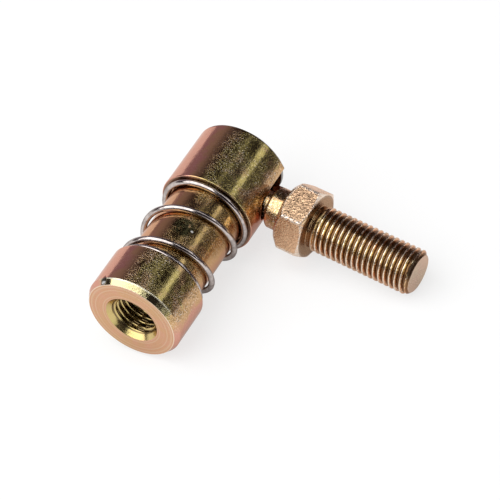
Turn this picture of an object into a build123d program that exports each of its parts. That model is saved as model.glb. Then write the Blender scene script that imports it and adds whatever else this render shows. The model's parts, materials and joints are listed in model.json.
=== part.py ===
"""Quick-release angle ball joint, M10 x 1.25.

A ball stud sits in a pocket bored into the side of a turned socket body. A spring-loaded sleeve with
a U-shaped slot covers the pocket and keeps the ball in; pulled back along the body towards the
threaded collar, it lets the ball out sideways. A retaining ring stops the sleeve at the nose.

Millimetres, +Z up. The origin is the ball's centre. The body's axis is parallel to Y, with the
threaded collar towards -Y. The joint lies as it comes to rest: on its collar, its sleeve and the
tip of the stud, so the body is rolled about its own axis until the stud's thread meets the surface.
"""

import os
from math import asin, atan2, cos, degrees, hypot, radians, sin, sqrt, tan

from build123d import *

# Threads: the stud's shank and the tapped hole are plain at the thread's major diameter
thread_diameter = 10.0

# Across the collar and the sleeve, which are flush
outside_diameter = 21.0

# Socket body, with its lengths along Y from the ball's centre
collar_length = 10.8
rod_face_distance = 40.2
collar_bevel_depth = 1.3
collar_bevel_width = 0.75
collar_back_bevel = 0.3
nose_distance = 8.6
nose_bevel = 0.4
hole_depth = 24.0
drill_point_angle = 118.0
countersink_diameter = 11.8
countersink_angle = 90.0

# Ball and its pocket
ball_diameter = 13.0
ball_clearance = 0.05
ball_play = 0.08  # between the ball and the edges of the sleeve's slot, which keep it in

# Retaining ring and its groove
ring_lip = 0.9  # how far it stands out of the groove
ring_thickness = 0.8
ring_gap = 3.5
groove_depth = 0.7
groove_clearance = 0.03
sleeve_end_play = 0.04

# Release sleeve
sleeve_wall = 2.14
sleeve_length = 15.9
sleeve_end_distance = 7.2
sleeve_clearance = 0.06
sleeve_bevel = 0.35
slot_width = 6.2
slot_length = 11.7

# Sleeve spring, a right-hand coil of round wire
wire_diameter = 1.3
spring_clearance = 0.3  # between the wire and the neck
spring_seat_clearance = 0.025
spring_start_angle = 176.0
closed_turns_at_collar = 0.47
climbing_turns = 2.64
closed_turns_at_sleeve = 0.78
lead_in_turns = 1.0
lead_out_turns = 0.3
points_per_turn = 18

# Ball stud, with its lengths along the stud from the ball's centre
pole_flat_diameter = 3.0
waist_diameter = 5.6
shoulder_distance = 9.5
shoulder_bevel = 0.6
stud_neck_diameter = 9.0
hex_distance = 13.45
hex_thickness = 6.5
hex_across_flats = 14.0
hex_front_face_diameter = 13.0
hex_front_bevel_angle = 45.0
hex_back_face_diameter = 13.6
hex_back_bevel_angle = 28.0
thread_end_distance = 44.15
tip_bevel = 0.9

# How the joint lies
stud_lean = -4.6  # towards the collar, within the slot
hex_turn = 13.0  # how far the hex is turned about the stud


rod_face = -rod_face_distance
collar_back = rod_face + collar_length
bore_radius = thread_diameter / 2
outside_radius = outside_diameter / 2
sleeve_bore_radius = outside_radius - sleeve_wall
neck_radius = sleeve_bore_radius - sleeve_clearance
ring_near = sleeve_end_distance + sleeve_end_play

# The ball's centre stands off the body's axis, towards the stud, until the slot's edges hold the ball
slot_edge = sqrt(sleeve_bore_radius**2 - (slot_width / 2) ** 2)
ball_offset = slot_edge - sqrt((ball_diameter / 2 + ball_play) ** 2 - (slot_width / 2) ** 2)


def lying_roll():
    """Roll of the body about its axis, in degrees, that brings the end of the thread down onto the
    surface under the collar. The surface is a collar radius below the body's axis."""
    reach = (thread_end_distance - tip_bevel) * cos(radians(stud_lean)) + ball_offset
    thread_radius = thread_diameter / 2
    return degrees(asin(outside_radius / hypot(reach, thread_radius)) - atan2(thread_radius, reach))


roll = radians(lying_roll())
opening = Vector(cos(roll), 0, -sin(roll))  # the way the pocket opens
upright = Vector(sin(roll), 0, cos(roll))
axis_point = opening * -ball_offset

# Frame of the body: x to the pocket's mouth, y along the body towards the nose
body_frame = Plane(origin=axis_point, x_dir=opening, z_dir=upright)
body_axis = Axis(axis_point, (0, 1, 0))

# Frame of the stud: x along the stud from the ball's centre
lean = radians(stud_lean)
stud_direction = opening * cos(lean) + Vector(0, sin(lean), 0)
stud_frame = Plane(origin=(0, 0, 0), x_dir=stud_direction, z_dir=upright)
stud_axis = Axis((0, 0, 0), stud_direction)


def body_section(*points):
    """A flat face through the body's axis, from points given as (radius, place along Y)."""
    with BuildSketch(body_frame) as section:
        with BuildLine():
            Polyline(*points, close=True)
        make_face()
    return section.sketch


# ---- Socket body: collar, neck and head turned from one bar ----
with BuildPart() as socket_body:
    revolve(
        body_section(
            (0, rod_face),
            (outside_radius - collar_bevel_width, rod_face),
            (outside_radius, rod_face + collar_bevel_depth),
            (outside_radius, collar_back - collar_back_bevel),
            (outside_radius - collar_back_bevel, collar_back),
            (neck_radius, collar_back),
            (neck_radius, nose_distance - nose_bevel),
            (neck_radius - nose_bevel, nose_distance),
            (0, nose_distance),
        ),
        axis=body_axis,
    )
    # tapped hole for the rod, with its countersink and drill point
    countersink_radius = countersink_diameter / 2
    countersink_depth = (countersink_radius - bore_radius) / tan(radians(countersink_angle / 2))
    point_length = bore_radius / tan(radians(drill_point_angle / 2))
    revolve(
        body_section(
            (0, rod_face),
            (countersink_radius, rod_face),
            (bore_radius, rod_face + countersink_depth),
            (bore_radius, rod_face + hole_depth),
            (0, rod_face + hole_depth + point_length),
        ),
        axis=body_axis,
        mode=Mode.SUBTRACT,
    )
    # groove for the retaining ring
    groove_radius = neck_radius - groove_depth
    revolve(
        body_section(
            (groove_radius, ring_near - groove_clearance),
            (neck_radius + nose_bevel, ring_near - groove_clearance),
            (neck_radius + nose_bevel, ring_near + ring_thickness + groove_clearance),
            (groove_radius, ring_near + ring_thickness + groove_clearance),
        ),
        axis=body_axis,
        mode=Mode.SUBTRACT,
    )
    # pocket for the ball: a spherical seat with a straight bore out of the side
    pocket_radius = ball_diameter / 2 + ball_clearance
    with Locations((0, 0, 0)):
        Sphere(pocket_radius, mode=Mode.SUBTRACT)
    with BuildSketch(Plane(origin=(0, 0, 0), x_dir=(0, 1, 0), z_dir=opening)):
        Circle(pocket_radius)
    extrude(amount=neck_radius, mode=Mode.SUBTRACT)
socket_body.part.label = "socket_body"

# ---- Release sleeve: a tube whose slot straddles the stud's waist ----
with BuildPart() as release_sleeve:
    sleeve_near = sleeve_end_distance - sleeve_length
    revolve(
        body_section(
            (sleeve_bore_radius, sleeve_near),
            (outside_radius - sleeve_bevel, sleeve_near),
            (outside_radius, sleeve_near + sleeve_bevel),
            (outside_radius, sleeve_end_distance - sleeve_bevel),
            (outside_radius - sleeve_bevel, sleeve_end_distance),
            (sleeve_bore_radius, sleeve_end_distance),
        ),
        axis=body_axis,
    )
    slot_centre = sleeve_end_distance - slot_length + slot_width / 2
    straight = slot_length - slot_width / 2
    with BuildSketch(Plane(origin=axis_point, x_dir=(0, 1, 0), z_dir=opening)):
        with Locations((slot_centre, 0)):
            Circle(slot_width / 2)
            Rectangle(straight, slot_width, align=(Align.MIN, Align.CENTER))
    extrude(amount=outside_diameter, mode=Mode.SUBTRACT)
release_sleeve.part.label = "release_sleeve"

# ---- Retaining ring: an open flat ring in the groove, its gap away from the pocket ----
with BuildPart() as retaining_ring:
    ring_bore_radius = groove_radius + groove_clearance
    ring_radius = neck_radius + ring_lip
    revolve(
        body_section(
            (ring_bore_radius, ring_near),
            (ring_radius, ring_near),
            (ring_radius, ring_near + ring_thickness),
            (ring_bore_radius, ring_near + ring_thickness),
        ),
        axis=body_axis,
    )
    with BuildSketch(Plane(origin=axis_point, x_dir=(0, 1, 0), z_dir=-opening)):
        with Locations((ring_near + ring_thickness / 2, 0)):
            Rectangle(2 * ring_thickness, ring_gap)
    extrude(amount=ring_radius + ring_lip, mode=Mode.SUBTRACT)
retaining_ring.part.label = "retaining_ring"

# ---- Sleeve spring: closed end coils on the collar and the sleeve, open coils between ----
coil_radius = neck_radius + spring_clearance + wire_diameter / 2
first_coil = collar_back + wire_diameter / 2 + spring_seat_clearance
last_coil = sleeve_near - wire_diameter / 2 - spring_seat_clearance
turns = closed_turns_at_collar + climbing_turns + closed_turns_at_sleeve


def climb(turn):
    """Share of the spring's rise at a turn: level, then faster over the lead in, steady, and slower
    over the lead out, then level again."""
    steady = climbing_turns - (lead_in_turns + lead_out_turns) / 2
    t = min(max(turn - closed_turns_at_collar, 0), climbing_turns)
    left = climbing_turns - t
    if t < lead_in_turns:
        return t**2 / (2 * lead_in_turns) / steady
    if left < lead_out_turns:
        return 1 - left**2 / (2 * lead_out_turns) / steady
    return (t - lead_in_turns / 2) / steady


def coil_point(turn):
    """A point of the wire's centre line, given by how many turns it is from the collar end."""
    angle = radians(spring_start_angle - 360 * turn)
    along = first_coil + (last_coil - first_coil) * climb(turn)
    return body_frame.from_local_coords((coil_radius * cos(angle), along, coil_radius * sin(angle)))


with BuildPart() as sleeve_spring:
    steps = round(turns * points_per_turn)
    with BuildLine() as wire_path:
        Spline(*[coil_point(turns * i / steps) for i in range(steps + 1)])
    with BuildSketch(Plane(origin=wire_path.line @ 0, z_dir=wire_path.line % 0)):
        Circle(wire_diameter / 2)
    sweep(path=wire_path.line, is_frenet=True)
sleeve_spring.part.label = "sleeve_spring"

# ---- Ball stud: ball, waist, neck, hex and threaded shank in one piece ----
with BuildPart() as ball_stud:
    ball_radius = ball_diameter / 2
    pole_radius = pole_flat_diameter / 2
    waist_radius = waist_diameter / 2
    stud_neck_radius = stud_neck_diameter / 2
    hex_end = hex_distance + hex_thickness
    thread_radius = thread_diameter / 2
    pole = -sqrt(ball_radius**2 - pole_radius**2)
    waist_start = sqrt(ball_radius**2 - waist_radius**2)
    with BuildSketch(stud_frame):
        with BuildLine():
            ball_arc = ThreePointArc((pole, pole_radius), (0, ball_radius), (waist_start, waist_radius))
            Polyline(
                ball_arc @ 1,
                (shoulder_distance, waist_radius),
                (shoulder_distance, stud_neck_radius - shoulder_bevel),
                (shoulder_distance + shoulder_bevel, stud_neck_radius),
                (hex_distance, stud_neck_radius),
                (hex_end, stud_neck_radius),
                (hex_end, thread_radius),
                (thread_end_distance - tip_bevel, thread_radius),
                (thread_end_distance, thread_radius - tip_bevel),
                (thread_end_distance, 0),
                (pole, 0),
                ball_arc @ 0,
            )
        make_face()
    revolve(axis=stud_axis)
    hex_plane = Plane(origin=stud_direction * hex_distance, x_dir=stud_frame.y_dir, z_dir=stud_direction)
    with BuildSketch(hex_plane):
        RegularPolygon(hex_across_flats / 2, 6, major_radius=False, rotation=hex_turn)
    extrude(amount=hex_thickness)
    # bevels that take off the hex's corners, one cone at each end
    outside = hex_across_flats
    front_face_radius = hex_front_face_diameter / 2
    back_face_radius = hex_back_face_diameter / 2
    front_run = (outside - front_face_radius) * tan(radians(hex_front_bevel_angle))
    back_run = (outside - back_face_radius) * tan(radians(hex_back_bevel_angle))
    for face, radius, run in (
        (hex_distance, front_face_radius, front_run),
        (hex_end, back_face_radius, -back_run),
    ):
        with BuildSketch(stud_frame):
            with BuildLine():
                Polyline((face, radius), (face, outside), (face + run, outside), close=True)
            make_face()
        revolve(axis=stud_axis, mode=Mode.SUBTRACT)
ball_stud.part.label = "ball_stud"

os.makedirs("parts", exist_ok=True)
for piece in (socket_body, release_sleeve, retaining_ring, sleeve_spring, ball_stud):
    export_step(piece.part, f"parts/{piece.part.label}.step")
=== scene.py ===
"""Angle ball joint with a quick-release sleeve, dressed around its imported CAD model.

Metres, in the CAD model's frame: the ball's centre is the origin, the socket body's axis runs along Y
with its threaded collar towards -Y, and the joint lies on the surface below it. Lengths in the
sections are in millimetres, as on a drawing, and turn into metres where a mesh is made.
"""
import json

import bpy
import numpy as np
from mathutils import Matrix, Vector


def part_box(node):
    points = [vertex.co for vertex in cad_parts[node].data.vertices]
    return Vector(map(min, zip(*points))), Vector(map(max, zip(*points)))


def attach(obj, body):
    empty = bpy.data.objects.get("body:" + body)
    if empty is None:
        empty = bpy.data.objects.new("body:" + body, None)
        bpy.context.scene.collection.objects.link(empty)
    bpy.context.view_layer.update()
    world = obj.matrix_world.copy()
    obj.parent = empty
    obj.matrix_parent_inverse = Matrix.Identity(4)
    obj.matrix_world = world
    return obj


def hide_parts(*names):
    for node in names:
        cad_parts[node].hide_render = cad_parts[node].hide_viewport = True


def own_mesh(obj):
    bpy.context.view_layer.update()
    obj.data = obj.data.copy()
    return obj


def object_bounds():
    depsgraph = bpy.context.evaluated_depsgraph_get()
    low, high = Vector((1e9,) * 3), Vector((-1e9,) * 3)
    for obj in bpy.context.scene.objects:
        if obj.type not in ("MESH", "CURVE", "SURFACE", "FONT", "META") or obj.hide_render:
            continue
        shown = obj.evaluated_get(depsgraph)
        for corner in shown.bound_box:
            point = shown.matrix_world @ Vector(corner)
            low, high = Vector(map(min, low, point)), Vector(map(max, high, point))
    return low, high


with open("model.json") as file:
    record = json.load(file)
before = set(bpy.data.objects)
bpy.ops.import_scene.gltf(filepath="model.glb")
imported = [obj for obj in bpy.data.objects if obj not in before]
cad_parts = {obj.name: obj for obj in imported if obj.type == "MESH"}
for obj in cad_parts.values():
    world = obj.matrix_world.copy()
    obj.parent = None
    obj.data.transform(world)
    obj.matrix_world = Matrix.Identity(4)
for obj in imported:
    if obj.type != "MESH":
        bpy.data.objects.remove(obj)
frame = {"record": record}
cad_box = [list(corner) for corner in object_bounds()]
mounts = {mount["name"]: mount for mount in frame["record"]["mounts"]}

# ---- Socket body ----
# One piece turned from steel bar: a collar with a tapped hole for the rod, a slimmer neck that the
# spring and the sleeve run on, and a head with the ball's pocket bored into its side.
# It is zinc plated and passivated yellow, so its skin is gold and rose with olive patches; where
# each shows is painted iridescent sheen, turned towards the camera's side.
outside_radius = 10.5
neck_radius = 8.3
rod_face, collar_back, nose = -40.2, -29.4, 8.6
bevel_width, bevel_depth = 0.75, 1.3
thread_radius, tapped_radius, thread_pitch = 5.0, 4.36, 1.25  # tapped: over the hole's crests
countersink_radius = 5.9
mouth = rod_face + countersink_radius - thread_radius  # where the countersink's cone ends
tap_end, hole_end, drill_point = -17.2, -16.2, -13.2
run_in, run_out = 0.5, 1.5  # the lengths over which the thread fades at the mouth and at the tap's end
ring_groove_radius, ring_groove_near, ring_groove_far = 7.6, 7.21, 8.07
pocket_radius, pocket_bore, pocket_reach = 6.55, 4.0, 9.6
nick_angle, nick_place = np.radians(127.0), -39.3
nick_across, nick_along, nick_depth = 0.55, 0.6, 0.4
axis_gap = 0.05  # the radius of the small flat that closes a piece at its axis
body_columns, nick_crowding, thread_row_step = 240, 0.6, 0.12

opening = np.array(mounts["ball_socket"]["axis"])  # the way the pocket opens
body_line = np.array([0.0, 1.0, 0.0])
upright = np.cross(opening, body_line)
body_low, body_high = (np.array(corner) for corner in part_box("socket_body"))
body_middle = (body_low + body_high) / 2 * [1000, 0, 1000]  # on the body's axis, level with the ball


def about_body(radius, place, angle):
    """Points about the body's axis: the axis, plus the radius times the direction at that angle from
    the pocket's mouth towards upright, plus the place along the body."""
    outward = np.cos(angle)[..., None] * opening + np.sin(angle)[..., None] * upright
    return body_middle + radius[..., None] * outward + place[..., None] * body_line


def rounded(corners, steps=4):
    """A profile through corners given as (x, y, rounding). Each corner becomes a parabola that leaves
    and meets its straight runs one rounding away from it, with one more point on each run."""
    at, rounding = np.array(corners, float)[:, :2], np.array(corners, float)[:, 2]
    before, after = at[:-2] - at[1:-1], at[2:] - at[1:-1]
    before /= np.linalg.norm(before, axis=1, keepdims=True)
    after /= np.linalg.norm(after, axis=1, keepdims=True)
    s = np.r_[-0.5, np.linspace(0, 1, steps + 1), 1.5]
    leave, meet = np.clip(1 - s, 0, None) ** 2, np.clip(s, 0, None) ** 2
    leave, meet = np.where(s < 0, 1 - s, leave), np.where(s > 1, s, meet)
    leave[-1] = meet[0] = 0
    reach = rounding[1:-1, None, None] * (
        leave[:, None] * before[:, None] + meet[:, None] * after[:, None]
    )
    return np.vstack([at[:1], (at[1:-1, None] + reach).reshape(-1, 2), at[-1:]])


def refined(profile, step):
    """The same profile with points added along its runs, so that none is longer than the step."""
    length = np.r_[0, np.cumsum(np.linalg.norm(np.diff(profile, axis=0), axis=1))]
    added = np.arange(step, length[-1], step)
    nearest = np.abs(added[:, None] - length).min(1)
    places = np.sort(np.r_[length, added[nearest > step / 3]])
    return np.column_stack([np.interp(places, length, profile[:, k]) for k in (0, 1)])


def ridge(turns):
    """Height of a rounded 60-degree thread, from 0 in the root to 1 on the crest. A triangle wave,
    one period a turn, is cut off at about a fifth of its height in the root and a seventh on the
    crest, and a small sine eases the corners."""
    root_cut, flank_height = 0.22, 0.64
    wave = 1 - np.abs(turns % 1 * 2 - 1)
    flank = np.clip((wave - root_cut) / flank_height, 0, 1)
    return flank - np.sin(2 * np.pi * flank) / (10 * np.pi)


def grid_piece(name, points, rows_close=False, capped=True):
    """A mesh object from a grid of points in millimetres, whose columns close on themselves. Each cell
    is one face. The first and last rows are capped, or joined to each other if the rows close too.
    The volume is a sixth of the sum of the faces' triple products, and where it comes out negative
    the faces are turned round."""
    rows, columns = points.shape[:2]
    index = np.arange(rows * columns).reshape(rows, columns)
    if rows_close:
        index = np.vstack([index, index[:1]])
    beside = np.roll(index, -1, axis=1)
    cells = np.stack([index[:-1], beside[:-1], beside[1:], index[1:]], axis=-1).reshape(-1, 4)
    flat = points.reshape(-1, 3)
    a, b, c, d = (flat[cells[:, k]] for k in range(4))
    volume = np.sum(a * np.cross(b, c)) + np.sum(a * np.cross(c, d))
    caps = [index[0, ::-1], index[-1]] if capped and not rows_close else []
    faces = [*cells.tolist(), *(cap.tolist() for cap in caps)]
    if volume < 0:
        faces = [face[::-1] for face in faces]
    mesh = bpy.data.meshes.new(name)
    mesh.from_pydata(flat * 0.001, [], faces)
    mesh.shade_smooth()
    mesh.set_sharp_from_angle(angle=np.radians(40))
    piece = bpy.data.objects.new(name, mesh)
    bpy.context.scene.collection.objects.link(piece)
    return piece


# The body is its profile turned about its axis, with columns crowded at the nick. Where it is tapped,
# the radius is the thread's less the ridge, which fades at both ends and keeps within the cone of the
# countersink. The nick is a flat-topped bell taken off the radius at the bevel's edge.
angle = np.linspace(0, 2 * np.pi, body_columns, endpoint=False)
angle = angle - nick_crowding * np.sin(angle - nick_angle)
drill = refined(
    rounded([(axis_gap, drill_point, 0), (thread_radius, hole_end, 0.3), (thread_radius, tap_end, 0)]),
    1.5,
)
thread_rows = np.arange(tap_end - 0.2, mouth, -thread_row_step)
skin = refined(
    rounded(
        [
            (thread_radius, mouth, 0),
            (countersink_radius, rod_face, 0.06),
            (outside_radius - bevel_width, rod_face, 0.12),
            (outside_radius, rod_face + bevel_depth, 0.14),
            (outside_radius, collar_back, 0.3),
            (neck_radius, collar_back, 0.25),
            (neck_radius, ring_groove_near, 0.06),
            (ring_groove_radius, ring_groove_near, 0.06),
            (ring_groove_radius, ring_groove_far, 0.06),
            (neck_radius, ring_groove_far, 0.06),
            (neck_radius, nose, 0.4),
            (axis_gap, nose, 0),
        ]
    ),
    0.5,
)
radius = np.r_[drill[:, 0], np.full(thread_rows.size, thread_radius), skin[:, 0]][:, None]
place = np.r_[drill[:, 1], thread_rows, skin[:, 1]][:, None]
turns = -place / thread_pitch - angle / (2 * np.pi)
tapped = (place < tap_end) & (place > rod_face) & (radius < thread_radius + 1e-6)
fade = np.clip((tap_end - place) / run_out, 0, 1) * np.clip((place - mouth) / run_in, 0, 1)
wall = thread_radius - (thread_radius - tapped_radius) * ridge(turns) * fade
cone = countersink_radius - (place - rod_face)
radius = np.where(tapped, np.maximum(wall, np.minimum(cone, thread_radius)), radius)
nick_turn = (angle - nick_angle) * outside_radius / nick_across
from_nick = nick_turn**2 + ((place - nick_place) / nick_along) ** 2
radius = radius - nick_depth * np.exp(-(from_nick**2)) * (radius > neck_radius + 0.7)
place = place + 0 * angle
body = grid_piece("turned_body", about_body(radius, place, angle + 0 * place))

# The pocket's cutter is a half ball on the end of a straight bore that comes out of the body's side.
seat = np.radians(np.linspace(179.7, 90, 40))
cutter_radius = pocket_radius * np.r_[np.sin(seat), 1, 1]
cutter_place = np.r_[pocket_radius * np.cos(seat), pocket_bore, pocket_reach]
around = np.linspace(0, 2 * np.pi, 128, endpoint=False)
cutter = grid_piece(
    "pocket_cutter",
    cutter_place[:, None, None] * opening
    + cutter_radius[:, None, None]
    * (np.cos(around)[:, None] * body_line + np.sin(around)[:, None] * upright),
)
cut = body.modifiers.new("pocket", "BOOLEAN")
cut.object, cut.solver = cutter, "EXACT"
cut_mesh = bpy.data.meshes.new_from_object(body.evaluated_get(bpy.context.evaluated_depsgraph_get()))
body.modifiers.clear()
body.data = cut_mesh
cut_mesh.name = "turned_body"
cut_mesh.shade_smooth()
cut_mesh.set_sharp_from_angle(angle=np.radians(40))
bpy.data.objects.remove(cutter)


def add(tree, kind, inputs=(), **settings):
    """One shader node. Each input is a number, a colour or another node's output."""
    made = tree.nodes.new("ShaderNode" + kind)
    for key, value in settings.items():
        setattr(made, key, value)
    for key, value in dict(inputs).items():
        if isinstance(value, bpy.types.NodeSocket):
            tree.links.new(value, made.inputs[key])
        else:
            made.inputs[key].default_value = value
    return made


def new_finish(name):
    """A metal material, its node tree and shader, and the piece's own coordinates in millimetres."""
    finish = bpy.data.materials.new(name)
    finish.use_nodes = True
    tree = finish.node_tree
    shader = tree.nodes["Principled BSDF"]
    shader.inputs["Metallic"].default_value = 1
    own = tree.nodes.new("ShaderNodeTexCoord").outputs["Object"]
    place = add(tree, "Mapping", {"Vector": own, "Scale": (1000, 1000, 1000)}).outputs["Vector"]
    return finish, tree, shader, place


def noise(tree, place, size, detail=2.0, roughness=0.5, distortion=0.0):
    """Noise whose features are about the size, in millimetres."""
    inputs = {"Vector": place, "Scale": 1 / size, "Detail": detail, "Roughness": roughness}
    return add(tree, "TexNoise", {**inputs, "Distortion": distortion}).outputs["Fac"]


def ramp(tree, value, low, high, start=0.0, end=1.0):
    """The value, taken smoothly from start to end as it goes from low to high."""
    inputs = {"Value": value, "From Min": low, "From Max": high, "To Min": start, "To Max": end}
    return add(tree, "MapRange", inputs, interpolation_type="SMOOTHSTEP").outputs["Result"]


def blended(tree, share, first, second):
    """One colour turning into another by a share."""
    return add(tree, "Mix", {0: share, 6: first, 7: second}, data_type="RGBA").outputs[2]


def reckoned(tree, operation, *values):
    """One sum worked out on numbers or on nodes' outputs."""
    return add(tree, "Math", dict(enumerate(values)), operation=operation).outputs[0]


def product(tree, *shares):
    """Shares or numbers multiplied together."""
    result = shares[0]
    for share in shares[1:]:
        result = reckoned(tree, "MULTIPLY", result, share)
    return result


def within(tree, value, near, near_full, far_full, far):
    """1 where the value is from near_full to far_full, falling to 0 at near and at far."""
    return product(tree, ramp(tree, value, near, near_full), ramp(tree, value, far_full, far, 1.0, 0.0))


def tinted(tree, tint, colour, *shares):
    """A tint turning into another colour by shares multiplied together."""
    return blended(tree, product(tree, *shares), tint, colour)


def along_line(tree, place, middle, line):
    """How far a point lies along a line through a middle point, as a dot product."""
    away = add(tree, "VectorMath", {0: place, 1: tuple(middle)}, operation="SUBTRACT").outputs["Vector"]
    return add(tree, "VectorMath", {0: away, 1: tuple(line)}, operation="DOT_PRODUCT").outputs["Value"]


def off_line(tree, place, middle, line):
    """How far a point lies from a line through a middle point: the length of a cross product."""
    away = add(tree, "VectorMath", {0: place, 1: tuple(middle)}, operation="SUBTRACT").outputs["Vector"]
    across = add(tree, "VectorMath", {0: away, 1: tuple(line)}, operation="CROSS_PRODUCT")
    return add(tree, "VectorMath", {0: across.outputs["Vector"]}, operation="LENGTH").outputs["Value"]


def bumped(tree, height, depth, under=None):
    """A normal tilted by a height from 0 to 1 that stands for a depth in millimetres."""
    inputs = {"Height": height, "Distance": depth * 1e-3}
    if under is not None:
        inputs["Normal"] = under
    return add(tree, "Bump", inputs).outputs["Normal"]


def zinc_plate(name, gold, rose, olive, pits, middle, line, sheen_way, rough_side=None):
    """Yellow passivated zinc plate on a piece turned about a line through a middle point: its finish,
    tree, shader, place, tint, gloss and normal, and each point's place along that line and off it, so
    that a piece can add its own marks. The film is olive where the piece faces straight along the
    sheen way, in either sense, gold further round and rose at its flanks, in soft patches: this is
    painted iridescent sheen, turned towards the camera's side. The share is a point's height over the
    middle along the sheen way, over its distance off the line. The plate is smooth in places, and in
    others rough with pits, pale flecks and fine wrinkles a few tenths of a millimetre wide; the pits
    are painted dark as shade in them, and the flecks and wrinkles pale as glints. The rough side, if
    there is one, is the direction that the roughness, with its painted shade and glints, fades away
    from."""
    patch_size, rough_size, swell_size, wrinkle_size, pit_size = 4.0, 3.2, 1.6, 0.75, 0.26
    finish, tree, shader, place = new_finish(name)
    shader.inputs["Specular Tint"].default_value = (0.85, 0.74, 0.68, 1)
    along, off = along_line(tree, place, middle, line), off_line(tree, place, middle, line)
    patches = noise(tree, place, patch_size, 3, 0.55, 0.6)
    # painted iridescent sheen: the film's colour follows a fixed direction towards the camera's side
    sheen_facing = reckoned(tree, "DIVIDE", along_line(tree, place, middle, sheen_way), off)
    sheen_facing = reckoned(tree, "ABSOLUTE", sheen_facing)
    film = reckoned(tree, "MULTIPLY_ADD", sheen_facing, -0.85, ramp(tree, patches, 0.3, 0.7, 0.91, 1.09))
    tint = blended(tree, ramp(tree, film, 0.39, 0.57), gold, rose)
    tint = tinted(tree, tint, olive, ramp(tree, film, 0.15, 0.29, 0.9, 0.0))
    rough = ramp(tree, noise(tree, place, rough_size, 3, 0.6, 0.4), 0.36, 0.62, 0.35, 1.0)
    if rough_side is not None:
        towards = reckoned(tree, "DIVIDE", along_line(tree, place, middle, rough_side), off)
        flank = ramp(tree, towards, 0.6, 0.88, 0.12, 1.0)
        streak = ramp(tree, towards, 0.975, 0.99, 1.0, 0.5)
        rough = product(tree, rough, flank, streak)
    # the pits are bumped in, and painted dark olive as shade in them
    shaded_pits = ramp(tree, noise(tree, place, pit_size, 2, 0.6), 0.42, 0.53, 1.0, 0.0)
    shaded_pits = product(tree, shaded_pits, rough)
    specks = ramp(tree, noise(tree, place, pit_size, 0, 0.5), 0.65, 0.70)
    wave = reckoned(tree, "SUBTRACT", noise(tree, place, wrinkle_size, 2, 0.5, 0.8), 0.5)
    wrinkles = ramp(tree, reckoned(tree, "ABSOLUTE", wave), 0.0, 0.022, 1.0, 0.0)
    wrinkles = product(tree, wrinkles, ramp(tree, patches, 0.45, 0.6))
    # the pale specks and wrinkles are bumps painted pale as glints
    glint_flecks = product(tree, reckoned(tree, "MAXIMUM", specks, wrinkles), rough)
    pit_shade_olive, glint_pale = (*(0.22 * part for part in olive[:3]), 1), (0.95, 0.86, 0.76, 1)
    tint = tinted(tree, tint, pit_shade_olive, shaded_pits, 0.8)
    tint = tinted(tree, tint, glint_pale, glint_flecks, 0.9)
    gloss = ramp(tree, patches, 0.3, 0.7, 0.08, 0.13)
    gloss = reckoned(tree, "ADD", gloss, product(tree, glint_flecks, 0.28))
    normal = bumped(tree, noise(tree, place, swell_size, 2), 0.03)
    normal = bumped(tree, shaded_pits, -pits, normal)
    normal = bumped(tree, glint_flecks, pits * 0.6, normal)
    return finish, tree, shader, place, tint, gloss, normal, along, off


def plated(tree, shader, tint, gloss, normal):
    """Joins a colour, a roughness and a normal to the shader."""
    tree.links.new(tint, shader.inputs["Base Color"])
    tree.links.new(gloss, shader.inputs["Roughness"])
    tree.links.new(normal, shader.inputs["Normal"])


def facing_out(degrees):
    """The direction out of the body's skin at an angle from the pocket's mouth towards upright."""
    return np.cos(np.radians(degrees)) * opening + np.sin(np.radians(degrees)) * upright


body_colours = (0.66, 0.41, 0.21, 1), (0.68, 0.34, 0.26, 1), (0.55, 0.46, 0.16, 1)  # gold, rose, olive
face_gold, face_rose = (0.64, 0.37, 0.21, 1), (0.68, 0.36, 0.25, 1)
tool_shine, face_rim_highlight = (0.74, 0.56, 0.40, 1), (0.86, 0.72, 0.56, 1)
bevel_sheen_green, bevel_highlight_tint = (0.61, 0.54, 0.29, 1), (0.95, 0.90, 0.72, 1)
neck_orange, mouth_yellow = (0.60, 0.36, 0.16, 1), (0.62, 0.50, 0.20, 1)
root_shade_brown, crest_shade_brown = (0.13, 0.085, 0.045, 1), (0.20, 0.13, 0.065, 1)
# facing_out(60) lies towards the camera's side and turns the painted sheen; facing_out(56) is the rough
# side
body_finish, tree, shader, place, tint, gloss, normal, along, off = zinc_plate(
    "turned_yellow_zinc", *body_colours, 0.022, body_middle, body_line, facing_out(60), facing_out(56)
)
# Both end faces: turning marks in rings, rosy patches, and a painted highlight line round the rod face.
on_face = ramp(tree, along, rod_face + 0.05, rod_face + 0.12, 1.0, 0.0)
on_face = product(tree, on_face, ramp(tree, off, countersink_radius, countersink_radius + 0.1))
on_face = reckoned(tree, "MAXIMUM", on_face, ramp(tree, along, nose - 0.1, nose - 0.04))
tool_marks = add(tree, "CombineXYZ", {"X": off, "Y": product(tree, along, 0.2)}).outputs["Vector"]
inner_edge = ramp(tree, off, countersink_radius + 0.08, countersink_radius + 0.22, 1.0, 0.0)
broad_marks = ramp(tree, noise(tree, tool_marks, 0.6, 1), 0.58, 0.64)
broad_marks = reckoned(tree, "MAXIMUM", broad_marks, inner_edge)
fine_marks = noise(tree, tool_marks, 0.12, 2)
bevel_start = outside_radius - bevel_width
# a painted highlight along the rod face's outer edge, where it meets the bevel
lit_face_rim = ramp(tree, off, bevel_start - 0.18, bevel_start - 0.05)
rosy = ramp(tree, noise(tree, place, 2.2, 3, 0.6), 0.42, 0.62)
tint = tinted(tree, tint, face_gold, on_face, 0.85)
tint = tinted(tree, tint, face_rose, on_face, rosy, 0.5)
tint = tinted(tree, tint, tool_shine, on_face, broad_marks, 0.4)
tint = tinted(tree, tint, face_rim_highlight, on_face, lit_face_rim, 0.8)
normal = bumped(tree, product(tree, on_face, broad_marks), 0.01, normal)
normal = bumped(tree, product(tree, on_face, fine_marks), 0.004, normal)
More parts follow.
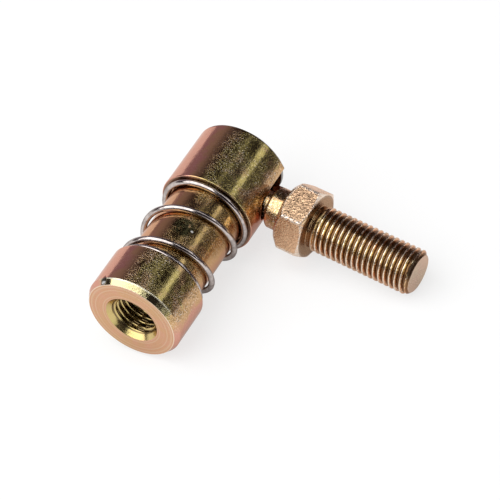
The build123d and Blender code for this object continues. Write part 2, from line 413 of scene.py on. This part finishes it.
# The collar's bevel has a painted greenish sheen on its upper side, and a painted highlight where it
# meets the collar.
bevel_end = rod_face + bevel_depth
sheen_side = ramp(tree, along_line(tree, place, body_middle, facing_out(85)), 6.0, 8.0)
on_bevel = product(
    tree,
    sheen_side,
    ramp(tree, along, bevel_end, bevel_end + 0.1, 1.0, 0.0),
    ramp(tree, off, bevel_start, bevel_start + 0.1),
)
# painted highlight along the bevel's outer edge, on its upper side only
lit_bevel_edge = product(
    tree,
    sheen_side,
    ramp(tree, off, outside_radius - 0.16, outside_radius - 0.1),
    within(tree, along, bevel_end - 0.2, bevel_end - 0.12, bevel_end + 0.08, bevel_end + 0.2),
)
tint = tinted(tree, tint, bevel_sheen_green, on_bevel, 0.95)
tint = tinted(tree, tint, bevel_highlight_tint, lit_bevel_edge, 0.8)
# The neck is more orange and the countersink yellow, and the thread in the hole is painted dark as
# shade.
on_neck = ramp(tree, off, neck_radius + 0.3, neck_radius + 0.5, 1.0, 0.0)
on_neck = product(tree, on_neck, ramp(tree, along, collar_back - 0.1, collar_back))
in_mouth = product(
    tree,
    ramp(tree, off, countersink_radius - 0.1, countersink_radius, 1.0, 0.0),
    within(tree, along, rod_face + 0.02, rod_face + 0.08, hole_end, hole_end + 1),
)
in_hole = product(
    tree,
    ramp(tree, off, thread_radius + 0.1, thread_radius + 0.3, 1.0, 0.0),
    within(tree, along, mouth - 0.05, mouth + 0.2, hole_end, hole_end + 1),
)
# painted shade in the hole's thread, darkest in its roots and a little less on its crests
shaded_root = ramp(tree, off, tapped_radius + 0.28, tapped_radius + 0.42)
on_crest = ramp(tree, off, tapped_radius + 0.03, tapped_radius + 0.1, 1.0, 0.0)
tint = tinted(tree, tint, neck_orange, on_neck, 0.5)
tint = tinted(tree, tint, mouth_yellow, in_mouth, 0.85)
tint = tinted(tree, tint, root_shade_brown, in_hole, shaded_root, 0.9)
tint = tinted(tree, tint, crest_shade_brown, in_hole, on_crest, 0.85)


def spot(tree, place, radius, along, angle, size):
    """1 near a place on the body and 0 further from it than a size in millimetres."""
    middle = about_body(np.array(radius), np.array(along), np.array(angle))
    away = add(tree, "VectorMath", {0: place, 1: tuple(middle)}, operation="DISTANCE").outputs["Value"]
    return ramp(tree, away, size * 0.6, size, 1.0, 0.0)


# Wear and painted shade: the nick is painted dark as shade in the dent, with a chip of bare zinc, and
# the neck has a smear of oil with a bright chip.
nick_shade_black, bare_zinc = (0.03, 0.027, 0.025, 1), (0.50, 0.50, 0.49, 1)
oil_black, bare_steel = (0.06, 0.065, 0.03, 1), (0.9, 0.9, 0.88, 1)
oily_place = -20.0
# painted shade in the nick
shaded_nick = spot(tree, place, 10.2, nick_place, nick_angle, 1.0)
chip = spot(tree, place, 10.0, rod_face + 0.55, nick_angle + 0.01, 0.62)
oily = product(
    tree,
    spot(tree, place, neck_radius, oily_place, np.radians(82), 2.9),
    ramp(tree, noise(tree, place, 1.1, 3, 0.6), 0.32, 0.46),
)
bright_chip = spot(tree, place, neck_radius, oily_place, np.radians(68), 0.36)
tint = tinted(tree, tint, nick_shade_black, shaded_nick, 0.98)
tint = tinted(tree, tint, bare_zinc, chip, 0.9)
tint = tinted(tree, tint, oil_black, oily, 0.92)
tint = tinted(tree, tint, bare_steel, bright_chip, 0.9)
for mark, duller in ((shaded_nick, 0.45), (bright_chip, 0.5), (lit_bevel_edge, 0.3), (in_mouth, 0.1)):
    gloss = reckoned(tree, "ADD", gloss, product(tree, mark, duller))
# The sleeve shares this finish: a painted contact shadow where the spring sits on its end, and a
# painted dark shade line at its far edge.
sleeve_near, sleeve_far = -8.7, 7.2
spring_contact_shadow, far_edge_shade = (0.16, 0.11, 0.07, 1), (0.14, 0.10, 0.06, 1)
# painted contact shadow of the spring on the sleeve's near face
shadow_at_spring = product(
    tree,
    within(tree, off, neck_radius + 0.2, neck_radius + 0.4, outside_radius - 0.25, outside_radius - 0.1),
    within(tree, along, sleeve_near - 0.1, sleeve_near + 0.02, sleeve_near + 0.04, sleeve_near + 0.1),
)
# a dark line painted along the far outer edge as shade
shaded_far_rim = product(
    tree,
    ramp(tree, off, outside_radius - 0.6, outside_radius - 0.45),
    within(tree, along, sleeve_far - 0.45, sleeve_far - 0.3, sleeve_far - 0.12, sleeve_far - 0.04),
)
tint = tinted(tree, tint, spring_contact_shadow, shadow_at_spring, 0.8)
tint = tinted(tree, tint, far_edge_shade, shaded_far_rim, 0.6)
plated(tree, shader, tint, gloss, normal)
body.data.materials.clear()
body.data.materials.append(body_finish)
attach(body, "socket")
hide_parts("socket_body")

# ---- Retaining ring ----
# A flat ring of hardened spring steel, open at one side so that it springs into the groove at the
# nose, where it stops the sleeve. It is phosphated dark grey, and rubbed bright at its edges.
ring_bore, ring_rim, ring_near, ring_far, ring_gap = 7.63, 9.2, 7.24, 8.04, 3.5
ring_seam = 7.64
dark_phosphate, pale_phosphate = (0.15, 0.14, 0.13, 1), (0.24, 0.23, 0.21, 1)
rubbed_steel = (0.55, 0.53, 0.5, 1)

# Its section, from a seam in the bore right round, is carried round the body from one end to the
# other, and drawn in towards its middle over the last rows at each end.
section = rounded(
    [
        (ring_bore, ring_seam - 0.04, 0),
        (ring_bore, ring_near, 0.1),
        (ring_rim, ring_near, 0.1),
        (ring_rim, ring_far, 0.1),
        (ring_bore, ring_far, 0.1),
        (ring_bore, ring_seam + 0.04, 0),
    ]
)
way_round = np.r_[-1, -0.9985, np.linspace(-0.995, 0.995, 161), 0.9985, 1][:, None]
drawn_in = np.r_[0.9, 0.985, np.ones(161), 0.985, 0.9][:, None]
ring_middle = np.array([(ring_bore + ring_rim) / 2, (ring_near + ring_far) / 2])
ring_radius = ring_middle[0] + (section[:, 0] - ring_middle[0]) * drawn_in
ring_place = ring_middle[1] + (section[:, 1] - ring_middle[1]) * drawn_in
ring_angle = way_round * (np.pi - np.arcsin(ring_gap / 2 / ring_radius))
ring = grid_piece("open_ring", about_body(ring_radius, ring_place, ring_angle))
ring_finish, tree, shader, place = new_finish("phosphated_spring_steel")
off = off_line(tree, place, body_middle, body_line)
clouds = noise(tree, place, 0.5, 3)
tint = blended(tree, ramp(tree, clouds, 0.35, 0.65), dark_phosphate, pale_phosphate)
tint = tinted(tree, tint, rubbed_steel, ramp(tree, off, ring_rim - 0.12, ring_rim - 0.02), 0.6)
gloss = ramp(tree, clouds, 0.3, 0.7, 0.34, 0.5)
plated(tree, shader, tint, gloss, bumped(tree, noise(tree, place, 0.15, 2), 0.004))
ring.data.materials.append(ring_finish)
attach(ring, "socket")
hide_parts("retaining_ring")

# ---- Release sleeve ----
# A turned tube that slides on the neck, with a U-shaped slot milled in from its nose end. The slot's
# sides straddle the stud's waist and keep the ball in its pocket. Same zinc plate as the body.
sleeve_bore = 8.36
slot_half, slot_end = 3.1, -4.5
near_rounding, far_rounding, bore_rounding = 0.2, 0.4, 0.08

u_turn = np.linspace(0, np.pi / 2, 13)
straight = np.linspace(0, 1, 14)[1:]
rim_share = np.linspace(0, 1, 110)[1:]
u_end, side_end = u_turn.size, u_turn.size + straight.size
near_angle = np.pi * np.linspace(0, 1, side_end + rim_share.size)
# edges are rounded less along the slot than round the tube's ends
softness = np.interp(np.arange(near_angle.size), [side_end - 2, side_end + 4], [0.35, 1.0])


def sleeve_row(radius, near_inset, far_inset, share):
    """Half a line round the sleeve, from the slot to the side away from it, as radii, places and
    angles. It lies a share of the way from the near edge to the far one, which start their insets in
    from the sleeve's ends. The far edge is a half circle of the slot's width, its straight side, and
    then the tube's end. Edges are rounded less along the slot, by the softness."""
    near_inset, far_inset = near_inset + 0 * softness, far_inset * softness
    radius = radius + 0 * softness
    half, centre = slot_half + far_inset, slot_end + slot_half
    end = sleeve_far - far_inset
    side = np.r_[half[:u_end] * np.sin(u_turn), half[u_end:side_end]]
    corner = np.arcsin(half[side_end - 1] / radius[side_end - 1])
    far_angle = np.r_[np.arcsin(side / radius[:side_end]), corner + (np.pi - corner) * rim_share]
    round_end = centre - half[:u_end] * np.cos(u_turn)
    straight_side = centre + (end[u_end:side_end] - centre) * straight
    far_place = np.r_[round_end, straight_side, end[side_end:]]
    near_place = sleeve_near + near_inset
    place = near_place + (far_place - near_place) * share
    return radius, place, near_angle + (far_angle - near_angle) * share


# The wall's rows go along its outside, round its far edges, back along its bore and round its near
# edges. Half the tube is worked out, and its mirror image in the slot's middle closes each row.
along_wall = np.r_[0, 0.02, np.linspace(0.05, 0.95, 22), 0.98, 1]
bend = [(np.sin(t), np.cos(t)) for t in np.linspace(0, np.pi / 2, 6)]
outer = [sleeve_row(outside_radius, near_rounding, far_rounding, k) for k in along_wall]
far_outer = [
    sleeve_row(outside_radius - far_rounding * softness * (1 - c), 0, far_rounding * (1 - s), 1)
    for s, c in bend[1:]
]
far_inner = [
    sleeve_row(sleeve_bore + bore_rounding * (1 - s), 0, bore_rounding * (1 - c), 1) for s, c in bend
]
inner = [sleeve_row(sleeve_bore, bore_rounding, bore_rounding, k) for k in along_wall[::-2]]
near_inner = [
    sleeve_row(sleeve_bore + bore_rounding * (1 - c), bore_rounding * (1 - s), 0, 0) for s, c in bend[1:]
]
near_outer = [
    sleeve_row(outside_radius - near_rounding * (1 - s), near_rounding * (1 - c), 0, 0)
    for s, c in bend[:-1]
]
half_wall = np.array([*outer, *far_outer, *far_inner, *inner, *near_inner, *near_outer])
wall_radius, wall_place, wall_angle = half_wall.transpose(1, 0, 2)
sleeve = grid_piece(
    "slotted_sleeve",
    about_body(
        np.hstack([wall_radius, wall_radius[:, -2:0:-1]]),
        np.hstack([wall_place, wall_place[:, -2:0:-1]]),
        np.hstack([wall_angle, 2 * np.pi - wall_angle[:, -2:0:-1]]),
    ),
    rows_close=True,
)
sleeve.data.materials.append(body_finish)
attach(sleeve, "sleeve")
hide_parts("release_sleeve")

# ---- Sleeve spring ----
# Round spring wire coiled right-handed, its end coils closed on the collar and on the sleeve and
# open between. It pushes the sleeve to the nose, and closes up as the sleeve is pulled back.
wire_radius, coil_radius = 0.65, 9.25
first_coil, last_coil = -28.725, -9.375
closed_start, climbing, closed_end = 0.47, 2.64, 0.78
lead_in, lead_out = 1.0, 0.3
start_angle, end_rounding = np.radians(176), 0.12

# The wire's middle goes round the body at the coil's radius. It stays level in the closed coils and
# climbs evenly between them, its slope growing from nothing over the lead-in and dying over the
# lead-out, so that the climb is a parabola, a straight run and a parabola. Round the middle, the
# wire is a circle square to its slope, and it shrinks a little where it was cut off.
turn = np.linspace(0, closed_start + climbing + closed_end, 480)
steady = climbing - (lead_in + lead_out) / 2
risen = np.clip(turn - closed_start, 0, climbing)
climb = np.where(risen < lead_in, risen**2 / (2 * lead_in), risen - lead_in / 2) / steady
left = climbing - risen
climb = np.where(left < lead_out, 1 - left**2 / (2 * lead_out) / steady, climb)
wire_angle = start_angle - 2 * np.pi * turn
wire_place = first_coil + (last_coil - first_coil) * climb
slope = np.gradient(wire_place, turn * 2 * np.pi * coil_radius)
about_wire = np.linspace(0, 2 * np.pi, 24, endpoint=False)
from_end = np.minimum(turn, turn[-1] - turn) * 2 * np.pi * coil_radius
from_end = np.clip(from_end / end_rounding, 0, 1)
here = wire_radius * (0.8 + 0.2 * np.sqrt(1 - (1 - from_end) ** 2))
tilt = 1 / np.sqrt(1 + slope**2)
centre = about_body(np.full(turn.size, coil_radius), wire_place, wire_angle)
outward = np.cos(wire_angle)[:, None] * opening + np.sin(wire_angle)[:, None] * upright
backward = np.cross(outward, body_line)  # the way in which the angle falls, along the wire
across = tilt[:, None] * (body_line - slope[:, None] * backward)
wire_points = centre[:, None] + here[:, None, None] * (
    np.cos(about_wire)[:, None] * outward[:, None] + np.sin(about_wire)[:, None] * across[:, None]
)
spring = grid_piece("coil_spring", wire_points)
spring_finish, tree, shader, place = new_finish("drawn_spring_wire")
shader.inputs["Specular Tint"].default_value = (0.3, 0.28, 0.28, 1)
wire_grey, wire_bright = (0.43, 0.375, 0.355, 1), (0.62, 0.55, 0.52, 1)
streaks = noise(tree, place, 1.3, 3, 0.6, 0.5)
tint = blended(tree, ramp(tree, streaks, 0.35, 0.65), wire_grey, wire_bright)
gloss = ramp(tree, streaks, 0.3, 0.7, 0.2, 0.12)
plated(tree, shader, tint, gloss, bumped(tree, noise(tree, place, 0.3, 2), 0.004))
spring.data.materials.append(spring_finish)
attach(spring, "socket")
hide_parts("sleeve_spring")
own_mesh(spring)

# ---- Ball stud ----
# One forged and turned steel part: the ball, a waist that fits the sleeve's slot, a shoulder and
# neck, a hexagon for a spanner, and a shank with a rolled M10 x 1.25 thread. Zinc plated, pink-gold.
ball_radius, pole_flat = 6.5, 1.5
waist_radius, shoulder_place, stud_neck_radius, shoulder_bevel = 2.8, 9.5, 4.5, 0.6
hex_near, hex_far, hex_half_flats = 13.45, 19.95, 7.0
hex_front_radius, hex_front_slope = 6.5, 1.0
hex_back_radius, hex_back_slope = 6.8, np.tan(np.radians(28))
hex_corner_rounding, hex_turn = 0.3, np.radians(13)
relief_radius, relief_end = 4.55, 21.3
shank_end, tip_bevel = 44.15, 0.9
thread_depth, thread_clearance = 0.765, 0.02

stud_line = np.array(mounts["stud_thread"]["axis"])
stud_side = np.cross(upright, stud_line)

# The hexagon's edge lies at half the flats over the cosine of the angle from the nearest flat, and
# round each corner on the arc that touches both flats. Columns crowd towards the corners.
sixth = np.radians(30)  # half of a flat's sector
across_flat = np.linspace(-1, 1, 32, endpoint=False)
crowded = 0.15 * across_flat + 0.85 * np.sin(across_flat * np.pi / 2)
sector = np.repeat(np.arange(6), across_flat.size)
even_angle = hex_turn + sixth * (2 * sector + 1 + np.tile(across_flat, 6))
hex_angle = hex_turn + sixth * (2 * sector + 1 + np.tile(crowded, 6))
from_flat = np.abs(sixth * np.tile(crowded, 6))
to_corner = (hex_half_flats - hex_corner_rounding) / np.cos(sixth)
on_arc = to_corner * np.cos(sixth - from_flat) + np.sqrt(
    np.clip(hex_corner_rounding**2 - (to_corner * np.sin(sixth - from_flat)) ** 2, 0, None)
)
flat_reach = (hex_half_flats - hex_corner_rounding) * np.tan(sixth)
on_flat = hex_half_flats / np.cos(from_flat)
hexagon = np.where(hex_half_flats * np.tan(from_flat) > flat_reach, on_arc, on_flat)

# Behind the hexagon the stud is a round profile: the ball from its flat pole to the waist, as an arc
# of a circle, then the waist, the shoulder and the neck.
pole_angle, waist_angle = np.arcsin([pole_flat / ball_radius, waist_radius / ball_radius])
latitude = np.linspace(np.pi - pole_angle, waist_angle, 56)
ball_rows = np.column_stack([ball_radius * np.cos(latitude), ball_radius * np.sin(latitude)])
pole = ball_rows[0, 0]
round_rows = refined(
    rounded(
        [
            (*ball_rows[-1], 0),
            (ball_rows[-1, 0] + 0.35, waist_radius, 0.25),
            (shoulder_place, waist_radius, 0.25),
            (shoulder_place, stud_neck_radius - shoulder_bevel, 0.1),
            (shoulder_place + shoulder_bevel, stud_neck_radius, 0.15),
            (hex_near, stud_neck_radius, 0.2),
            (hex_near, hex_front_radius - 0.5, 0),
        ]
    ),
    0.5,
)
round_place = np.r_[pole, pole, ball_rows[:, 0], round_rows[1:, 0]][:, None] + 0 * even_angle
round_radius = np.r_[0.04, pole_flat - 0.1, ball_rows[:, 1], round_rows[1:, 1]][:, None] + 0 * even_angle

# Each end of the hexagon is bevelled by a cone, so its crease lies as far in as the hexagon's edge
# lies outside the end face, times the cone's slope. Rows run straight between edge and crease.
front_crease = hex_near + (hexagon - hex_front_radius) * hex_front_slope
back_crease = hex_far - (hexagon - hex_back_radius) * hex_back_slope
shares = np.array([0, 0.5, 0.96, 1.0])[:, None]
front_place = hex_near + (front_crease - hex_near) * shares
front_radius = hex_front_radius + (hexagon - hex_front_radius) * shares
flat_shares = np.array([0.02, 0.2, 0.4, 0.6, 0.8, 0.98, 1.0])[:, None]
flat_place = front_crease + (back_crease - front_crease) * flat_shares
flat_radius = hexagon + 0 * flat_shares
back_shares = np.array([0.04, 0.5, 1.0])[:, None]
back_place = back_crease + (hex_far - back_crease) * back_shares
back_radius = hexagon + (hex_back_radius - hexagon) * back_shares

# The shank starts at a turned relief. Its radius is the thread's, less the depth times one minus the
# ridge, which grows over the first turn, and it stays within the tip's 45-degree cone.
tip_start = shank_end - tip_bevel
shank_rows = np.r_[np.linspace(relief_end, tip_start, 280), np.linspace(tip_start, shank_end, 13)[1:]]
relief = rounded(
    [
        (hex_far, 6.3, 0),
        (hex_far, relief_radius, 0.25),
        (relief_end - 0.5, relief_radius, 0.2),
        (relief_end, thread_radius - 0.1, 0),
    ]
)
shank_place = np.r_[relief[:, 0], shank_rows[1:]][:, None] + 0 * even_angle
stud_turns = shank_place / thread_pitch - even_angle / (2 * np.pi)
grown = np.clip((shank_place - relief_end + 0.3) / 1.2, 0, 1)
threaded = thread_radius - thread_depth * (1 - ridge(stud_turns)) * grown - thread_clearance
threaded = np.minimum(threaded, thread_radius - tip_bevel + (shank_end - shank_place))
in_relief = np.arange(shank_place.shape[0])[:, None] < relief.shape[0]
shank_radius = np.where(in_relief, np.r_[relief[:, 1], 0 * shank_rows[1:]][:, None], threaded)
end_radius = np.array([thread_radius - tip_bevel - 0.15, 2.0, 0.04])[:, None] + 0 * even_angle
end_place = shank_end + 0 * end_radius

stud_radius = np.vstack([round_radius, front_radius, flat_radius, back_radius, shank_radius, end_radius])
stud_place = np.vstack([round_place, front_place, flat_place, back_place, shank_place, end_place])
row = np.arange(stud_radius.shape[0])[:, None] - round_radius.shape[0]
in_hex = (row >= 0) & (row < front_radius.shape[0] + flat_radius.shape[0] + back_radius.shape[0])
stud_angle = np.where(in_hex, hex_angle, even_angle)
stud_points = (
    stud_place[..., None] * stud_line
    + (stud_radius * np.cos(stud_angle))[..., None] * stud_side
    + (stud_radius * np.sin(stud_angle))[..., None] * upright
)
stud = grid_piece("threaded_ball_stud", stud_points)

stud_colours = (0.76, 0.43, 0.19, 1), (0.78, 0.39, 0.21, 1), (0.80, 0.66, 0.33, 1)
hex_pink, crease_shade_brown, hex_edge_highlight = (0.97, 0.64, 0.40, 1), (0.26, 0.17, 0.10, 1), (0.97, 0.88, 0.78, 1)
mottle_brown, corner_shade_brown = (0.30, 0.19, 0.10, 1), (0.26, 0.15, 0.08, 1)
root_shade_brown, crest_highlight, tip_tan = (0.17, 0.08, 0.035, 1), (0.92, 0.80, 0.66, 1), (0.58, 0.45, 0.36, 1)
# the stud's painted iridescent sheen is turned to this direction, towards the camera's side
stud_sheen_direction = np.cos(np.radians(124)) * stud_side + np.sin(np.radians(124)) * upright
ball_centre = (0, 0, 0)
stud_finish, tree, shader, place, tint, gloss, normal, along, off = zinc_plate(
    "stud_yellow_zinc", *stud_colours, 0.012, ball_centre, stud_line, stud_sheen_direction
)
# The hexagon is forged and duller. Its edges are pale in patches, painted highlight with some wear: the
# front and back creases, where the distance along the stud and the distance off it keep to the bevels'
# cones, and the corners.
on_hexagon = within(tree, along, hex_near - 0.05, hex_near + 0.1, hex_far, hex_far + 0.1)
front_line = hex_near - hex_front_radius
back_line = hex_far + hex_back_radius * hex_back_slope
from_front = reckoned(tree, "SUBTRACT", along, off)
from_back = reckoned(tree, "MULTIPLY_ADD", off, hex_back_slope, along)
front_edge = ramp(tree, from_front, front_line + 0.02, front_line + 0.22, 1.0, 0.0)
back_edge = ramp(tree, from_back, back_line - 0.25, back_line - 0.05)
corner_edge = ramp(tree, off, 7.8, 7.92)
lit_hex_edges = reckoned(tree, "MAXIMUM", reckoned(tree, "MAXIMUM", front_edge, back_edge), corner_edge)
patchy = ramp(tree, noise(tree, place, 0.5, 2), 0.38, 0.5, 0.25, 1.0)
# The flat that faces up keeps the forging's ripples, drawn out along a slant, their creases painted dark
# as shade.
ripple_flat = np.radians(103)
flat_out = np.cos(ripple_flat) * stud_side + np.sin(ripple_flat) * upright
flat_along = 0.87 * stud_line + 0.5 * np.cross(flat_out, stud_line)
flat_across = np.cross(flat_out, flat_along)
ripple_length, ripple_width = 1.1, 0.36
grain = add(
    tree,
    "CombineXYZ",
    {
        "X": along_line(tree, place, ball_centre, flat_along / ripple_length),
        "Y": along_line(tree, place, ball_centre, flat_across / ripple_width),
        "Z": along_line(tree, place, ball_centre, flat_out),
    },
).outputs["Vector"]
ripples = ramp(tree, noise(tree, grain, 1.0, 2, 0.55, 0.9), 0.34, 0.62)
on_ripple_flat = ramp(tree, along_line(tree, place, ball_centre, flat_out), 6.6, 6.95, 0.15, 1.0)
rippled = product(tree, on_hexagon, on_ripple_flat)
shaded_creases = ramp(tree, ripples, 0.0, 0.5, 1.0, 0.0)
tint = tinted(tree, tint, hex_pink, on_hexagon, 0.9)
tint = tinted(tree, tint, crease_shade_brown, rippled, shaded_creases, 0.7)
tint = tinted(tree, tint, hex_edge_highlight, on_hexagon, lit_hex_edges, patchy, 0.8)
normal = bumped(tree, product(tree, rippled, ripples), 0.09, normal)
normal = bumped(tree, product(tree, on_hexagon, noise(tree, place, 0.45, 2)), 0.02, normal)
gloss = reckoned(tree, "ADD", gloss, product(tree, on_hexagon, 0.14))
# The neck is mottled, the thread has painted shade in its roots and a painted highlight on its crests,
# the corner behind the hexagon has painted shade, and the tip is matt.
on_neck = within(tree, along, shoulder_place - 0.3, shoulder_place, hex_near - 0.1, hex_near)
mottles = ramp(tree, noise(tree, place, 0.9, 3, 0.65), 0.46, 0.6)
on_thread = within(tree, along, relief_end - 1.2, relief_end, shank_end - 0.1, shank_end - 0.02)
shaded_root = ramp(tree, off, thread_radius - 0.58, thread_radius - 0.34, 1.0, 0.0)
shaded_root = product(tree, on_thread, shaded_root)
on_crest = ramp(tree, off, thread_radius - 0.2, thread_radius - 0.06)
on_tip = ramp(tree, along, shank_end - 0.05, shank_end - 0.01)
shaded_corner = within(tree, along, hex_far - 0.12, hex_far - 0.02, relief_end - 0.2, relief_end + 0.5)
tint = tinted(tree, tint, mottle_brown, on_neck, mottles, 0.35)
tint = tinted(tree, tint, root_shade_brown, shaded_root, 0.9)
tint = tinted(tree, tint, crest_highlight, on_thread, on_crest, 0.7)
tint = tinted(tree, tint, tip_tan, on_tip, 0.8)
tint = tinted(tree, tint, corner_shade_brown, shaded_corner, 0.75)
gloss = reckoned(tree, "ADD", gloss, product(tree, shaded_root, 0.2))
plated(tree, shader, tint, gloss, normal)
stud.data.materials.append(stud_finish)
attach(stud, "stud")
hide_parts("ball_stud")

# ---- Floor, studio and camera ----
# A white table top in a pale room. A dark tent, paler at one patch, stands off the horizon on the
# far side, and a low dark card stands behind, so that metal shows white below and dark above. Four
# lamps stand in the tent. Only reflections show the tent and the card.
floor_height = cad_box[0][2]
bpy.ops.mesh.primitive_plane_add(size=6, location=(0, 0, floor_height - 2e-5))
floor = bpy.context.object
floor.name = "table_top"


def seen(tree):
    """1 for rays that come from the camera, or from metal or glass, and 0 for those that only light."""
    path = tree.nodes.new("ShaderNodeLightPath").outputs
    camera_or_glossy = reckoned(tree, "MAXIMUM", path["Is Camera Ray"], path["Is Glossy Ray"])
    return reckoned(tree, "MAXIMUM", camera_or_glossy, path["Is Transmission Ray"])


floor_paint = bpy.data.materials.new("white_table_top")
floor_paint.use_nodes = True
tree = floor_paint.node_tree
paint = tree.nodes["Principled BSDF"]
paint.inputs["Base Color"].default_value = (0.28, 0.28, 0.28, 1)
paint.inputs["Roughness"].default_value = 0.9
paint.inputs["Specular IOR Level"].default_value = 0.0
paint.inputs["Emission Color"].default_value = (1, 1, 1, 1)
# what metal reflects of the table darkens close under the object, where less of the room is open
from_camera = tree.nodes.new("ShaderNodeLightPath").outputs["Is Camera Ray"]
open_sky = add(tree, "AmbientOcclusion", {"Distance": 0.03}, samples=4).outputs["AO"]
shade = reckoned(tree, "MAXIMUM", ramp(tree, open_sky, 0, 1, 0.5, 1.0), from_camera)
tree.links.new(product(tree, seen(tree), shade, 0.7), paint.inputs["Emission Strength"])
floor.data.materials.append(floor_paint)

world = bpy.data.worlds.new("pale_room")
bpy.context.scene.world = world
world.use_nodes = True
tree = world.node_tree
room = tree.nodes["Background"]
room.inputs["Color"].default_value = (1, 1, 1, 1)
tree.links.new(ramp(tree, seen(tree), 0, 1, 0.35, 1.0), room.inputs["Strength"])

# The tent is a dome whose rows climb from its foot to the top, and whose foot's height changes round it.
tent_degrees = np.arange(0, 360, 5)
foot_degrees = np.interp(
    tent_degrees, [0, 25, 55, 90, 135, 225, 270, 310, 340, 360], [2, 2, 6, 7, 5, 3, 0, 0, 0, 2]
)
tent_turn, tent_foot = np.radians(tent_degrees), np.radians(foot_degrees)
rise = tent_foot + (np.radians(89.9) - tent_foot) * np.linspace(0, 1, 13)[:, None]
east, north = -np.sin(tent_turn) * np.cos(rise), np.cos(tent_turn) * np.cos(rise)
way = np.stack([east, north, np.sin(rise)], axis=-1)
tent_reach = 1500
tent = grid_piece("dark_tent", way * tent_reach, capped=False)
cloth = bpy.data.materials.new("dark_tent_cloth")
cloth.use_nodes = True
tree = cloth.node_tree
tree.nodes.remove(tree.nodes["Principled BSDF"])
on_tent = tree.nodes.new("ShaderNodeTexCoord").outputs["Object"]
height = add(tree, "SeparateXYZ", {"Vector": on_tent}).outputs["Z"]
towards = add(tree, "VectorMath", {0: on_tent}, operation="NORMALIZE").outputs["Vector"]
patch_way = (-0.8, 0.555, 0.22)
near_patch = along_line(tree, towards, (0, 0, 0), patch_way)
upward_fade = ramp(tree, height, 0.0, 0.9, 0.07, 0.025)
strength = reckoned(tree, "ADD", upward_fade, ramp(tree, near_patch, 0.74, 1.0, 0.0, 0.25))
glow = add(tree, "Emission", {"Color": (1.0, 0.80, 0.96, 1), "Strength": strength})
tree.links.new(glow.outputs[0], tree.nodes["Material Output"].inputs["Surface"])
tent.data.materials.append(cloth)

# The card stands on the table in two leaves, right of the object and behind it.
low_card = bpy.data.objects.new("low_dark_card", bpy.data.meshes.new("low_dark_card"))
card_foot, card_top = [(0.06, -0.03), (0.06, 0.055), (-0.07, 0.055)], 0.016
card_points = [(x, y, z) for z in (floor_height, card_top) for x, y in card_foot]
low_card.data.from_pydata(card_points, [], [(0, 1, 4, 3), (1, 2, 5, 4)])
low_card.data.materials.append(cloth)
bpy.context.scene.collection.objects.link(low_card)
for screen in (tent, low_card):
    screen.visible_camera = screen.visible_diffuse = screen.visible_shadow = False
    screen.visible_transmission = screen.visible_volume_scatter = False


def lamp(name, middle, side, length, width, radiance):
    """A rectangular lamp at a place, facing the object, with its length lying along a side's direction.
    Its power is pi times its area times its radiance, which is how bright it looks in a mirror."""
    data = bpy.data.lights.new(name, "AREA")
    data.shape, data.size, data.size_y = "RECTANGLE", length, width
    data.energy = np.pi * width * length * radiance
    back = Vector(middle).normalized()
    level = (Vector(side) - back * back.dot(Vector(side))).normalized()
    made = bpy.data.objects.new(name, data)
    bpy.context.scene.collection.objects.link(made)
    turn = Matrix((level, back.cross(level), back)).transposed().to_4x4()
    made.matrix_world = Matrix.Translation(middle) @ turn
    return made


lamp("strip_lamp", (0.267, 0.222, 0.198), (0, 1, 0), 0.3, 0.075, 1.1)
lamp("high_lamp", (0.094, 0.278, 0.405), (0, 1, 0), 0.3, 0.06, 0.4)
lamp("arch_lamp", (0.42, 0.07, 0.42), (-0.7, 0, 0.7), 0.75, 0.08, 2.4)
lamp("soft_lamp", (-0.23, -0.248, 0.496), (1.03, -0.24, 0.36), 0.82, 0.85, 2.35)

camera_data = bpy.data.cameras.new("camera")
camera_data.lens, camera_data.sensor_width = 180, 36
camera = bpy.data.objects.new("camera", camera_data)
bpy.context.scene.collection.objects.link(camera)
camera.location = (0.217666, -0.296958, 0.369342)
# the camera's own right, up and backward directions
right = (0.87387, 0.46854, -0.12969)
up = (-0.26810, 0.68699, 0.67540)
back = (0.40555, -0.55544, 0.72596)
camera.rotation_euler = Matrix((right, up, back)).transposed().to_euler()
bpy.context.scene.camera = camera
bpy.context.scene.view_settings.view_transform = "Standard"
